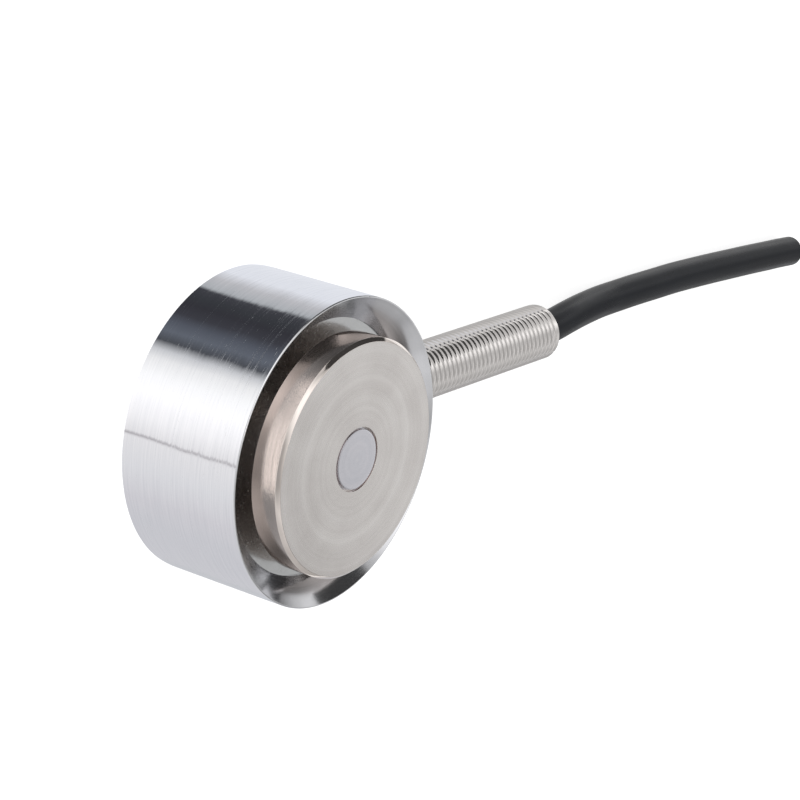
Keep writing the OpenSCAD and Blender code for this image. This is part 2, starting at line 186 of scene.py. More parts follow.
# Paper on the table round the drum: each stop gives the angle on the drum's wall that mirrors it
table_stops = [
    (40, (0.80, 0.82, 0.87)), (96, (0.82, 0.84, 0.89)), (103, (0.55, 0.55, 0.57)),
    (109.3, (0.46, 0.48, 0.50)), (111, (0.055, 0.056, 0.066)), (116, (0.042, 0.045, 0.052)),
    (120, (0.038, 0.038, 0.046)), (125, (0.050, 0.051, 0.062)), (129, (0.095, 0.105, 0.130)),
    (133, (0.13, 0.145, 0.175)), (137, (0.075, 0.080, 0.092)), (140.5, (0.64, 0.65, 0.67)),
    (144, (0.92, 0.92, 0.92)), (150, (1.10, 1.10, 1.10)), (156, (1.18, 1.17, 1.18)),
    (165, (1.02, 1.01, 1.02)), (171.1, (0.86, 0.85, 0.86)), (171.9, (0.42, 0.40, 0.42)),
    (172.7, (0.86, 0.85, 0.86)), (184, (0.78, 0.78, 0.80)), (196, (0.68, 0.67, 0.70)),
    (206, (0.64, 0.64, 0.67)), (228, (0.63, 0.63, 0.66)), (240, (0.58, 0.59, 0.62)),
    (290, (0.62, 0.63, 0.66)), (400, (0.80, 0.82, 0.87))]
drum_edge = 20.1
table_reach = 300
camera_angle = 157
seen_from, seen_to = camera_angle - 75, camera_angle + 75
inner_row, outer_row = [], []
for step in range(721):
    angle = seen_from + step / 2
    tone = between(table_stops, angle if angle < 400 else angle - 360)
    around = math.radians(angle)
    behind = max(angle - seen_to, 0) / (360 - 2 * 75)
    away = math.radians(2 * min(angle, seen_to) - camera_angle + behind * (360 - 4 * 75))
    start = Vector((math.cos(around), math.sin(around), 0)) * drum_edge
    inner_row.append((start, tone))
    outer_row.append((start + Vector((math.cos(away), math.sin(away), 0)) * table_reach, tone))
card("table_card", [inner_row, outer_row])

# Paper under the cable sleeve: its tone by the distance to the side of the sleeve
sleeve_stops = [
    (-60, 0.33), (-41, 0.34), (-21, 0.37), (-13.6, 0.40), (-10, 0.43), (-7.4, 0.46), (-3, 0.68),
    (0, 0.82), (2.4, 0.74), (3.3, 0.66), (4.2, 0.56), (5.4, 0.50), (6.7, 0.50), (8.6, 0.58),
    (11.5, 0.69), (17, 0.78), (31, 0.72), (60, 0.70)]
card("sleeve_card", [
    [((near + lean * abs(y), y, 0.05), (tone,) * 3) for y, tone in sleeve_stops]
    for near, lean in ((24, 0.8), (160, 0))])

# Dome of paper far round the table: its tones at rising heights over the horizon in degrees
dome_r = 1500
dome_heights = (0, 15, 30, 42, 52, 65, 89)
dome_stops = [
    (-170, (0.62, 0.62, 0.62, 0.42, 0.48, 0.90, 0.80)),
    (-150, (0.60, 0.60, 0.62, 0.45, 0.45, 0.80, 0.80)),
    (-123, (0.60, 0.60, 0.64, 0.85, 0.76, 0.70, 0.80)),
    (-100, (0.55, 0.56, 0.74, 0.84, 0.66, 0.62, 0.80)),
    (-80, (0.52, 0.58, 0.64, 0.50, 0.60, 0.70, 0.80)),
    (-60, (0.48, 0.52, 0.22, 0.16, 0.20, 0.40, 0.80)),
    (-45, (0.43, 0.48, 0.16, 0.12, 0.16, 0.40, 0.80)),
    (-37, (0.46, 0.50, 0.42, 0.10, 0.12, 0.40, 0.80)),
    (-30, (0.44, 0.56, 0.72, 0.13, 0.16, 0.60, 0.80)),
    (-25, (0.40, 0.52, 0.82, 0.38, 0.46, 0.90, 0.80)),
    (-21, (0.15, 0.32, 0.82, 0.46, 0.42, 0.70, 0.80)),
    (-17, (0.12, 0.28, 0.82, 0.46, 0.40, 0.70, 0.80)),
    (-12, (0.12, 0.26, 0.82, 0.50, 0.48, 0.80, 0.80)),
    (-2, (0.14, 0.24, 0.62, 0.60, 0.50, 0.80, 0.80)),
    (5, (0.25, 0.32, 0.62, 0.60, 0.60, 0.80, 0.80)),
    (14, (0.64, 0.66, 1.05, 0.85, 0.70, 0.80, 0.80)),
    (21, (0.80, 0.83, 1.35, 0.90, 0.80, 0.90, 0.80)),
    (27, (0.75, 0.72, 1.20, 0.90, 1.00, 1.00, 0.80)),
    (33, (0.75, 0.75, 1.00, 1.00, 1.00, 1.00, 0.80)),
    (66, (0.75, 0.75, 0.80, 0.50, 0.80, 1.00, 0.80)),
    (78, (0.75, 0.75, 0.80, 0.50, 0.80, 1.00, 0.80)),
    (90, (0.60, 0.60, 0.70, 0.70, 1.20, 1.30, 0.80)),
    (104, (0.60, 0.60, 0.70, 1.30, 1.45, 1.30, 0.80)),
    (125, (0.60, 0.60, 0.70, 1.40, 1.50, 1.30, 0.80)),
    (141, (0.60, 0.60, 0.70, 1.00, 1.10, 1.20, 0.80)),
    (156, (0.60, 0.60, 0.65, 0.60, 0.72, 1.00, 0.80)),
    (168, (0.62, 0.62, 0.62, 0.50, 0.50, 0.90, 0.80)),
    (190, (0.62, 0.62, 0.62, 0.42, 0.48, 0.90, 0.80))]


def on_dome(angle, height):
    """Point of the dome in mm at an angle round the table and a height over the horizon."""
    angle, height = math.radians(angle), math.radians(height)
    return (dome_r * math.cos(height) * math.cos(angle),
            dome_r * math.cos(height) * math.sin(angle), dome_r * math.sin(height))


card("paper_dome", [[(on_dome(angle, height), (tones[i],) * 3) for angle, tones in dome_stops]
                    for i, height in enumerate(dome_heights)])

# Warm white sheet just inside the dome, high behind the drum: the funnel throws it on to the side
# of the load disc
before_dome = 0.95
card("warm_sheet", [[(Vector(on_dome(angle, height)) * before_dome, (3.6, 3.36, 3.14))
                     for angle in (-26.0, -23.4)] for height in (53.5, 64)])

# Black board that stands on the table beside the sleeve: the flag
flag_black = (0.05, 0.05, 0.05)
card("black_board", [[((130, 54, z), flag_black), ((24, 170, z), flag_black)]
                     for z in (0.1, 162)])

# White strip that lies beside the cable and brightens its upper edge
card("cable_strip", [
    [((x, y, 0.08), (tone,) * 3) for x, tone in ((84, 0.7), (100, 1.2), (220, 1.2))]
    for y in (4, 80)])


# Housing. The drum's wall is turned from stainless bar, polished outside, with a funnel-shaped
# lip that is turned inside; the sleeve's seat is a spot face and a reamed hole in its side.
def outline(name, points):
    """Chain of edges through points in mm, drawn by pushing one corner from point to point."""
    bpy.ops.object.select_all(action="DESELECT")
    bpy.ops.mesh.primitive_plane_add(size=MM, location=(0, 0, 0))
    piece = bpy.context.object
    piece.name = piece.data.name = name
    bpy.ops.object.mode_set(mode="EDIT")
    bpy.ops.mesh.select_all(action="SELECT")
    bpy.ops.mesh.merge(type="CENTER")
    corners = [Vector(point) * MM for point in points]
    bpy.ops.transform.translate(value=corners[0])
    for start, stop in zip(corners, corners[1:]):
        bpy.ops.mesh.extrude_region_move(TRANSFORM_OT_translate={"value": stop - start})
    return piece


def turned(name, points, axis=(0, 0, 1), centre=(0, 0, 0), steps=256):
    """Closed solid spun from its outline in mm, with the seam and the poles closed."""
    piece = outline(name, points)
    bpy.ops.mesh.select_all(action="SELECT")
    bpy.ops.mesh.spin(steps=steps, angle=math.tau, axis=axis, center=Vector(centre) * MM)
    bpy.ops.mesh.select_all(action="SELECT")
    bpy.ops.mesh.remove_doubles(threshold=0.0005 * MM)
    bpy.ops.mesh.normals_make_consistent(inside=False)
    bpy.ops.object.mode_set(mode="OBJECT")
    return piece


def arc(centre, radius, start, stop, count):
    """Points in mm on an arc in the outline's plane, from one angle to another in degrees."""
    angles = [math.radians(start + (stop - start) * i / count) for i in range(count + 1)]
    return [(centre[0] + radius * math.cos(a), 0, centre[1] + radius * math.sin(a))
            for a in angles]


def finish_edges(piece, width):
    """Breaks the sharp edges as a deburring tool does, and shades the piece as machined."""
    bpy.context.view_layer.objects.active = piece
    piece.select_set(True)
    bpy.ops.object.modifier_add(type="BEVEL")
    bevel = piece.modifiers[-1]
    bevel.width = width * MM
    bevel.segments = 3
    bevel.limit_method = "ANGLE"
    bevel.angle_limit = math.radians(30)
    bpy.ops.object.modifier_apply(modifier=bevel.name)
    bpy.ops.object.shade_smooth_by_angle(angle=math.radians(32))
    bpy.ops.object.modifier_add(type="WEIGHTED_NORMAL")
    weights = piece.modifiers[-1]
    weights.keep_sharp = True
    bpy.ops.object.modifier_apply(modifier=weights.name)


def cut_with(piece, cutter):
    """Takes the cutter's shape out of the piece, as a drill or a mill does."""
    bpy.context.view_layer.objects.active = piece
    bpy.ops.object.modifier_add(type="BOOLEAN")
    cut = piece.modifiers[-1]
    cut.operation = "DIFFERENCE"
    cut.object = cutter
    cut.solver = "EXACT"
    bpy.ops.object.modifier_apply(modifier=cut.name)
    bpy.data.objects.remove(cutter)


def settle(piece, material, slot, *nodes):
    """Gives a finished piece its material and its place on the load cell."""
    piece.data.materials.clear()
    piece.data.materials.append(material)
    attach(piece, "root")
    if nodes:
        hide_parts(*nodes)


def machined_metal(name, light, dark, rough, spread, relief, scale, clouds=40):
    """Bare metal whose fine tool lines run across the direction in which scale is large.

    Scale is in lines per mm along X, Y and Z; relief is the lines' depth in micrometres."""
    material = bpy.data.materials.new(name)
    material.use_nodes = True
    tree = material.node_tree
    shader = tree.nodes["Principled BSDF"]
    shader.inputs["Metallic"].default_value = 1.0
    place = add_node(tree, "TexCoord").outputs["Object"]
    stretched = add_node(tree, "Mapping", [
        ("Vector", place), ("Scale", [s / MM for s in scale])]).outputs[0]
    lines = add_node(tree, "TexNoise", [
        ("Vector", stretched), ("Scale", 1.0), ("Detail", 3.0), ("Roughness", 0.6)])
    cloud = add_node(tree, "TexNoise", [
        ("Vector", place), ("Scale", clouds), ("Detail", 2.0)])
    mixed = add_node(tree, "Mix", [
        ("Factor", cloud.outputs[0]), (6, linear(light)), (7, linear(dark))], data_type="RGBA")
    tree.links.new(mixed.outputs[2], shader.inputs["Base Color"])
    dull = add_node(tree, "MapRange", [
        ("Value", lines.outputs[0]), ("From Min", 0.3), ("From Max", 0.7),
        ("To Min", rough - spread), ("To Max", rough + spread)])
    tree.links.new(dull.outputs[0], shader.inputs["Roughness"])
    bump = add_node(tree, "Bump", [
        ("Height", lines.outputs[0]), ("Distance", relief * MM * MM), ("Strength", 1.0)])
    tree.links.new(bump.outputs[0], shader.inputs["Normal"])
    return material


def turned_metal(name, light, dark, rough, spread, relief, rings, blotches=250):
    """Bare metal turned on the lathe: fine lines round the Z axis, rings of them per mm."""
    material = machined_metal(name, light, dark, rough, spread, relief, (1, 1, 1), blotches)
    tree = material.node_tree
    place = next(n for n in tree.nodes if n.type == "TEX_COORD").outputs["Object"]
    mapping = next(n for n in tree.nodes if n.type == "MAPPING")
    parts = add_node(tree, "SeparateXYZ", [(0, place)])
    flat = add_node(tree, "CombineXYZ", [(0, parts.outputs[0]), (1, parts.outputs[1])])
    radius = add_node(tree, "VectorMath", [(0, flat.outputs[0])], operation="LENGTH")
    rings_at = add_node(tree, "Math", [(0, radius.outputs["Value"]), (1, rings / MM)],
                        operation="MULTIPLY")
    height = add_node(tree, "Math", [(0, parts.outputs[2]), (1, rings / MM)],
                      operation="MULTIPLY")
    turn_marks = add_node(tree, "CombineXYZ", [(0, rings_at.outputs[0]), (1, height.outputs[0])])
    drift = add_node(tree, "VectorMath", [(0, flat.outputs[0]), (1, (60, 60, 60))],
                     operation="MULTIPLY")
    around = add_node(tree, "VectorMath", [(0, turn_marks.outputs[0]), (1, drift.outputs[0])],
                      operation="ADD")
    for link in list(mapping.outputs[0].links):
        tree.links.new(around.outputs[0], link.to_socket)
    tree.nodes.remove(mapping)
    broad = add_node(tree, "TexNoise", [
        ("Vector", around.outputs[0]), ("Scale", 0.2), ("Detail", 2.0)])
    colours = next(n for n in tree.nodes if n.type == "MIX")
    cloud = colours.inputs["Factor"].links[0].from_socket
    both = add_node(tree, "Math", [(0, cloud), (1, broad.outputs[0])], operation="ADD")
    share = add_node(tree, "MapRange", [
        ("Value", both.outputs[0]), ("From Min", 0.7), ("From Max", 1.3)])
    tree.links.new(share.outputs[0], colours.inputs["Factor"])
    return material


drum_r, rim_z, rim_round, rim_land = 20, 18, 0.16, 0.05
lip_r, membrane_z, lip_land = 16.6, 14.8, 0.22
element_r, base_chamfer, seam_chamfer = 17.5, 0.3, 0.15
rim_inner_r = drum_r - rim_round - rim_land
housing_outline = [
    (element_r + seam_chamfer, 0, 0), (drum_r - base_chamfer, 0, 0), (drum_r, 0, base_chamfer),
    *arc((drum_r - rim_round, rim_z - rim_round), rim_round, 0, 90, 8),
    (rim_inner_r, 0, rim_z), (lip_r, 0, membrane_z + lip_land), (lip_r, 0, membrane_z),
    (element_r, 0, membrane_z), (element_r, 0, seam_chamfer), (element_r + seam_chamfer, 0, 0)]
sleeve_z, seat_r, seat_x, spigot_r = 5, 4.15, 19.5, 3
housing = turned("turned_housing", housing_outline)
seat_cutter = turned("seat_cutter", [
    (15, 0, sleeve_z), (15, 0, sleeve_z + spigot_r), (seat_x, 0, sleeve_z + spigot_r),
    (seat_x, 0, sleeve_z + seat_r), (22, 0, sleeve_z + seat_r), (22, 0, sleeve_z)],
    axis=(1, 0, 0), centre=(0, 0, sleeve_z), steps=96)
cut_with(housing, seat_cutter)
finish_edges(housing, 0.05)
# Polished stainless steel: mirrors its surroundings with the lines of the polishing belt, which
# run round the drum, lean a little to either side and fray what is mirrored
polished_steel = machined_metal(
    "polished_stainless_steel", "#f4f4f6", "#eaebee", 0.07, 0.03, 0.1, (0.05, 0.05, 14))
tree = polished_steel.node_tree
shader = tree.nodes["Principled BSDF"]
place = add_node(tree, "TexCoord").outputs["Object"]
behind = add_node(tree, "VectorMath", [(0, place), ("Scale", -1 / MM)], operation="SCALE")
parts = add_node(tree, "SeparateXYZ", [(0, behind.outputs[0])])
turn = add_node(tree, "Math", [(0, parts.outputs[1]), (1, parts.outputs[0])], operation="ARCTAN2")
along = add_node(tree, "Math", [(0, turn.outputs[0]), (1, drum_r)], operation="MULTIPLY")
unrolled = add_node(tree, "CombineXYZ", [(0, along.outputs[0]), (1, parts.outputs[2])]).outputs[0]
belt_lines = add_node(tree, "TexNoise", [
    ("Vector", add_node(tree, "Mapping", [
        ("Vector", unrolled), ("Scale", (0.10, 3.6, 1))]).outputs[0]),
    ("Scale", 1.0), ("Detail", 4.0), ("Roughness", 0.65)]).outputs[0]
waves = add_node(tree, "TexNoise", [("Vector", unrolled), ("Scale", 0.22), ("Detail", 2.0)])
lean = add_node(tree, "Math", [
    (0, belt_lines), (1, 0.064), (2, -0.032)], operation="MULTIPLY_ADD")
sway = add_node(tree, "Math", [
    (0, waves.outputs[0]), (1, 0.05), (2, lean.outputs[0])], operation="MULTIPLY_ADD")
sideways = add_node(tree, "Math", [(0, sway.outputs[0]), (1, -0.025)], operation="ADD")
facing = add_node(tree, "NewGeometry").outputs["Normal"]
round_about = add_node(tree, "VectorMath", [(0, (0, 0, 1)), (1, facing)],
                       operation="CROSS_PRODUCT")
leaning = add_node(tree, "VectorMath", [
    (0, round_about.outputs[0]), ("Scale", sideways.outputs[0])], operation="SCALE")
leant = add_node(tree, "VectorMath", [(0, facing), (1, leaning.outputs[0])], operation="ADD")
unit = add_node(tree, "VectorMath", [(0, leant.outputs[0])], operation="NORMALIZE")
bump = next(n for n in tree.nodes if n.type == "BUMP")
tree.links.new(unit.outputs[0], bump.inputs["Normal"])
streaks = add_node(tree, "MapRange", [("Value", belt_lines), ("From Min", 0.35), ("From Max", 0.7)])
colours = next(n for n in tree.nodes if n.type == "MIX")
tree.links.new(streaks.outputs[0], colours.inputs["Factor"])
# A few short scratches across the lines scatter the light
nicks = add_node(tree, "TexNoise", [
    ("Vector", add_node(tree, "Mapping", [
        ("Vector", unrolled), ("Rotation", (0, 0, math.radians(50))),
        ("Scale", (0.5, 9, 1))]).outputs[0]), ("Scale", 1.0), ("Detail", 1.0)])
scratched = add_node(tree, "MapRange", [
    ("Value", nicks.outputs[0]), ("From Min", 0.72), ("From Max", 0.76), ("To Max", 0.5)])
dull = add_node(tree, "MapRange", [
    ("Value", belt_lines), ("From Min", 0.46), ("From Max", 0.72), ("To Min", 0.06),
    ("To Max", 0.14)])
# Single deeper belt lines, thin and long, catch light even where the steel mirrors the flag
deep_lines = add_node(tree, "TexNoise", [
    ("Vector", add_node(tree, "Mapping", [
        ("Vector", unrolled), ("Scale", (0.03, 5.5, 1))]).outputs[0]),
    ("Scale", 1.0), ("Detail", 1.0)])
lined = add_node(tree, "MapRange", [
    ("Value", deep_lines.outputs[0]), ("From Min", 0.50), ("From Max", 0.74), ("To Max", 0.30)])
rougher = add_node(tree, "Math", [(0, dull.outputs[0]), (1, scratched.outputs[0])],
                   operation="MAXIMUM")
worn = add_node(tree, "Math", [(0, rougher.outputs[0]), (1, lined.outputs[0])],
                operation="MAXIMUM")
tree.links.new(worn.outputs[0], shader.inputs["Roughness"])
settle(housing, polished_steel, "polished_steel", "housing")
# Turned stainless steel in the funnel: satin, since it was left as the tool cut it. Its base colour
# is darker than the polished wall's, though it is the same steel: that darkening is painted shade
# for the recess
turned_steel = turned_metal(
    "satin_stainless_painted_shade", "#dcdcdf", "#cdcdd0", 0.13, 0.03, 0.05, 4)
housing.data.materials.append(turned_steel)
# The funnel's faces, inside the rim and above the membrane, take the satin steel with its painted
# shade
for face in housing.data.polygons:
    centre = face.center / MM
    if math.hypot(centre.x, centre.y) < rim_inner_r and centre.z > membrane_z:
        face.material_index = 1


# Sensing element. One turned piece of spring steel: ring, thin membrane and hub. Only the
# membrane's flat ring shows, between the funnel and the load disc.
def dress(material, *names):
    """Gives CAD nodes that stay as they are their material."""
    for name in names:
        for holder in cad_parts[name].material_slots:
            holder.material = material


# Fine-turned stainless spring steel: bright satin with an even, fine grain from the last cut
element_steel = machined_metal(
    "fine_turned_spring_steel", "#dcdddd", "#cecfd0", 0.22, 0.06, 0.2, (3, 3, 3))
dress(element_steel, "sensing_element")


# Load disc. Turned from stainless bar, faced on the lathe and chamfered, and pressed over the
# centre stud; its face and side carry the marks of the turning tool.
disc_r, disc_low, disc_top, disc_chamfer = 15.4, 16.9, 21, 0.45
stud_r, stud_low, groove_half, groove_depth = 4, 11.9, 0.15, 0.5
disc = turned("turned_load_disc", [
    (stud_r, 0, disc_low), (disc_r, 0, disc_low), (disc_r, 0, disc_top - disc_chamfer),
    (disc_r - disc_chamfer, 0, disc_top), (stud_r + groove_half, 0, disc_top),
    (stud_r + groove_half, 0, disc_top - groove_depth), (stud_r, 0, disc_top - groove_depth),
    (stud_r, 0, disc_low)])
finish_edges(disc, 0.03)


# Turned stainless steel on the disc's side and chamfer: brighter than its face, a little warm,
# with the feed lines of the tool round it
bright_side = turned_metal(
    "bright_turned_stainless", "#ebe2dc", "#ddd4ce", 0.085, 0.025, 0.08, 5, 200)
settle(disc, bright_side, "turned_steel", "load_disc")
# Faced stainless steel: satin and slightly warm, with soft rings from the turning tool
faced_steel = turned_metal(
    "faced_stainless_steel", "#f9f5f2", "#e9e4e1", 0.27, 0.015, 0.02, 4, 180)
disc.data.materials.append(faced_steel)
for face in disc.data.polygons:
    face.material_index = int(face.normal.z > 0.99)


# Centre stud. A hardened pin pressed through the disc into the hub and ground flush; a narrow
# dark groove is left round it.
stud = turned("ground_stud", [
    (0, 0, stud_low), (stud_r, 0, stud_low), (stud_r, 0, disc_top - groove_depth),
    (stud_r - groove_half, 0, disc_top - groove_depth), (stud_r - groove_half, 0, disc_top),
    (stud_r - groove_half - 0.25, 0, disc_top), (0, 0, disc_top)], steps=192)
finish_edges(stud, 0.02)
# Ground hardened steel: cooler and a little finer than the disc
ground_steel = turned_metal("ground_hardened_steel", "#ebeaf0", "#e2e2e9", 0.24, 0.015, 0.02, 6)
settle(stud, ground_steel, "stud_steel", "centre_stud")


# Strain gauges. Four foil gauges are bonded under the membrane: an etched grid of resistance
# foil on a polyimide film. Two enamelled leads run from each gauge's tabs to the board.
# Polyimide film: clear amber, faintly clouded by the bond line under it
polyimide_film = bpy.data.materials.new("amber_polyimide_film")
polyimide_film.use_nodes = True
tree = polyimide_film.node_tree
shader = tree.nodes["Principled BSDF"]
shader.inputs["IOR"].default_value = 1.7
place = add_node(tree, "TexCoord").outputs["Object"]
bond = add_node(tree, "TexNoise", [("Vector", place), ("Scale", 900), ("Detail", 3.0)])
amber = add_node(tree, "Mix", [
    ("Factor", bond.outputs[0]), (6, linear("#cf8a2a")), (7, linear("#b06a17"))],
    data_type="RGBA")
tree.links.new(amber.outputs[2], shader.inputs["Base Color"])
film_dull = add_node(tree, "MapRange", [
    ("Value", bond.outputs[0]), ("To Min", 0.18), ("To Max", 0.34)])
tree.links.new(film_dull.outputs[0], shader.inputs["Roughness"])
gauges = [f"strain_gauge_{k}" for k in (1, 2, 3, 4)]
dress(polyimide_film, *gauges)

# Etched resistance foil: yellowish grey satin metal with the rolling lines of the foil
gauge_foil = machined_metal(
    "etched_resistance_foil", "#b9b4a6", "#9d988b", 0.32, 0.08, 0.3, (6, 1, 1), 900)
dress(gauge_foil, *[f"gauge_grid_{k}" for k in (1, 2, 3, 4)])

# Enamelled copper: red-brown varnish over bright wire, a little uneven along its length
enamelled_copper = machined_metal(
    "enamelled_copper", "#a2501f", "#7c3814", 0.24, 0.05, 0.2, (4, 4, 4))
enamelled_copper.node_tree.nodes["Principled BSDF"].inputs["Coat Weight"].default_value = 0.6
dress(enamelled_copper, *[f"gauge_leads_{k}" for k in (1, 2, 3, 4)])

# Soft solder: bright, with the frosty patches where it froze
soft_solder = machined_metal("soft_solder", "#d3d6da", "#a9adb2", 0.28, 0.12, 1.5, (6, 6, 6), 1500)
dress(soft_solder, "gauge_solder", "board_solder")


# Bridge board. A small glass laminate board on a foam pad joins the gauges into a bridge; three
# trimming resistors and one for the temperature are soldered on it.
# Acrylic foam tape: matt grey with fine pores
foam_tape = bpy.data.materials.new("acrylic_foam_tape")
foam_tape.use_nodes = True
tree = foam_tape.node_tree
shader = tree.nodes["Principled BSDF"]
shader.inputs["Roughness"].default_value = 0.85
place = add_node(tree, "TexCoord").outputs["Object"]
pores = add_node(tree, "TexVoronoi", [("Vector", place), ("Scale", 5 / MM)])
foam = add_node(tree, "Mix", [
    ("Factor", pores.outputs[0]), (6, linear("#747670")), (7, linear("#8f918c"))],
    data_type="RGBA")
tree.links.new(foam.outputs[2], shader.inputs["Base Color"])
foam_bump = add_node(tree, "Bump", [("Height", pores.outputs[0]), ("Distance", 0.04 * MM)])
tree.links.new(foam_bump.outputs[0], shader.inputs["Normal"])
dress(foam_tape, "adhesive_pad")

# Glass laminate under green solder resist: the 0.5 mm weave shows faintly through the gloss
laminate = bpy.data.materials.new("glass_laminate_green_resist")
laminate.use_nodes = True
tree = laminate.node_tree
shader = tree.nodes["Principled BSDF"]
shader.inputs["Roughness"].default_value = 0.28
shader.inputs["IOR"].default_value = 1.55
place = add_node(tree, "TexCoord").outputs["Object"]
cloth_x = add_node(tree, "TexWave", [("Vector", place), ("Scale", 0.31 / (0.5 * MM))],
                   bands_direction="X")
cloth_y = add_node(tree, "TexWave", [("Vector", place), ("Scale", 0.31 / (0.5 * MM))],
                   bands_direction="Y")
cloth = add_node(tree, "Math", [(0, cloth_x.outputs[1]), (1, cloth_y.outputs[1])],
                 operation="MULTIPLY")
green = add_node(tree, "Mix", [
    ("Factor", cloth.outputs[0]), (6, linear("#1c5230")), (7, linear("#286a40"))],
    data_type="RGBA")
tree.links.new(green.outputs[2], shader.inputs["Base Color"])
cloth_bump = add_node(tree, "Bump", [("Height", cloth.outputs[0]), ("Distance", 0.01 * MM)])
tree.links.new(cloth_bump.outputs[0], shader.inputs["Normal"])
dress(laminate, "bridge_board")


def chip_finish(name, code):
    """Chip resistor: glazed body of that colour, and tinned ends beyond 0.6 mm from its middle."""
    material = bpy.data.materials.new(name)
    material.use_nodes = True
    tree = material.node_tree
    shader = tree.nodes["Principled BSDF"]
    place = add_node(tree, "TexCoord").outputs["Object"]
    along = add_node(tree, "Math", [
        (0, add_node(tree, "SeparateXYZ", [(0, place)]).outputs[0])], operation="ABSOLUTE")
    tinned = add_node(tree, "Math", [(0, along.outputs[0]), (1, 0.6 * MM)],
                      operation="GREATER_THAN")
    grain = add_node(tree, "TexNoise", [("Vector", place), ("Scale", 4 / MM), ("Detail", 3.0)])
    body = add_node(tree, "Mix", [
        ("Factor", grain.outputs[0]), (6, linear(code)), (7, linear("#2a2c31"))],
        data_type="RGBA")
    whole = add_node(tree, "Mix", [
        ("Factor", tinned.outputs[0]), (6, body.outputs[2]), (7, linear("#c8ccd1"))],
        data_type="RGBA")
    tree.links.new(whole.outputs[2], shader.inputs["Base Color"])
    tree.links.new(tinned.outputs[0], shader.inputs["Metallic"])
    dull = add_node(tree, "MapRange", [
        ("Value", grain.outputs[0]), ("To Min", 0.25), ("To Max", 0.45)])
    tree.links.new(dull.outputs[0], shader.inputs["Roughness"])
    return material


# Glazed thick-film chips: black for the trimming, blue for the temperature
dress(chip_finish("black_glazed_chip", "#17181b"), *[f"trim_resistor_{k}" for k in (1, 2, 3)])
dress(chip_finish("blue_glazed_chip", "#2c5590"), "temperature_resistor")


# Cable sleeve. Turned from stainless bar with a fine outside thread of 1 mm pitch, a chamfered
# mouth and a spigot that is pressed into the drum.
sleeve_r, sleeve_end_x, sleeve_chamfer = 4, 64, 0.6
spigot_x, narrow_r, narrow_end_x, bore_r = 13.99, 1.7, 23.99, 2.9
pitch, land_end_x, turn_steps = 1, 20.9, 80
crest_r, crest_half, crest_round, root_round = sleeve_r - 0.005, 0.27, 0.06, 0.08
flank_angles = [math.radians(a) for a in (0, 18, 36, 55)]
crest_arc = [(crest_half + crest_round * math.sin(a), crest_r - crest_round * (1 - math.cos(a)))
             for a in flank_angles]
flank_foot = pitch / 2 - root_round * math.sin(flank_angles[-1])
root_r = (crest_arc[-1][1] - (flank_foot - crest_arc[-1][0]) * math.tan(flank_angles[-1])
          - root_round * (1 - math.cos(flank_angles[-1])))
root_arc = [(pitch / 2 - root_round * math.sin(a), root_r + root_round * (1 - math.cos(a)))
            for a in reversed(flank_angles)]
down = crest_arc + root_arc
profile = [(0, crest_r), *down, *[(pitch - x, r) for x, r in reversed(down[:-1])],
           (pitch, crest_r)]
thread_from, thread_end_x = land_end_x - 2, 62.9
thread_turns = math.ceil(sleeve_end_x - thread_from) + 1
sleeve = outline("threaded_sleeve", [(thread_from + x, 0, r) for x, r in profile])
bpy.ops.object.mode_set(mode="OBJECT")
bpy.ops.object.modifier_add(type="SCREW")
screw = sleeve.modifiers[-1]
screw.axis = "X"
screw.screw_offset = pitch * MM
screw.iterations = thread_turns
screw.steps = screw.render_steps = turn_steps
screw.use_merge_vertices = False
bpy.ops.object.modifier_apply(modifier=screw.name)
bpy.ops.object.mode_set(mode="EDIT")
bpy.ops.mesh.select_all(action="SELECT")
bpy.ops.mesh.remove_doubles(threshold=0.0008 * MM)
for cut_x, side in ((land_end_x, {"clear_inner": True}), (sleeve_end_x, {"clear_outer": True})):
    bpy.ops.mesh.select_all(action="SELECT")
    bpy.ops.mesh.bisect(plane_co=(cut_x * MM, 0, 0), plane_no=(1, 0, 0), use_fill=True,
                        threshold=0.0001 * MM, **side)
bpy.ops.mesh.select_all(action="SELECT")
bpy.ops.mesh.normals_make_consistent(inside=False)
bpy.ops.object.mode_set(mode="OBJECT")
# The thread runs out into the smooth land, and the end's chamfer takes its crests off
run_out_x, run_out_slope, run_in_slope = land_end_x + 0.2, 0.3, 0.4
for corner in sleeve.data.vertices:
    x, y, z = (value / MM for value in corner.co)
    radius = math.hypot(y, z)
    wanted = max(radius, min(crest_r, crest_r - (x - run_out_x) * run_out_slope))
    wanted = max(wanted, min(crest_r, crest_r - (thread_end_x - x) * run_in_slope))
    wanted = min(wanted, sleeve_r - (x - sleeve_end_x + sleeve_chamfer))
    corner.co = Vector((x, y * wanted / radius, z * wanted / radius)) * MM
bpy.ops.object.mode_set(mode="EDIT")
bpy.ops.mesh.select_mode(type="FACE")
bpy.ops.mesh.select_all(action="DESELECT")
bpy.ops.object.mode_set(mode="OBJECT")
for face in sleeve.data.polygons:
    face.select = abs(face.center.x - land_end_x * MM) < 0.01 * MM and abs(face.normal.x) > 0.9
bpy.ops.object.mode_set(mode="EDIT")
bpy.ops.mesh.extrude_region_move(
    TRANSFORM_OT_translate={"value": ((seat_x - land_end_x) * MM, 0, 0)})
bpy.ops.mesh.extrude_region_move(TRANSFORM_OT_translate={"value": (0, 0, 0)})
bpy.ops.transform.resize(value=(1, spigot_r / crest_r, spigot_r / crest_r),
                         center_override=(seat_x * MM, 0, 0))
bpy.ops.mesh.extrude_region_move(
    TRANSFORM_OT_translate={"value": ((spigot_x - seat_x) * MM, 0, 0)})
bpy.ops.mesh.select_mode(type="VERT")
bpy.ops.object.mode_set(mode="OBJECT")
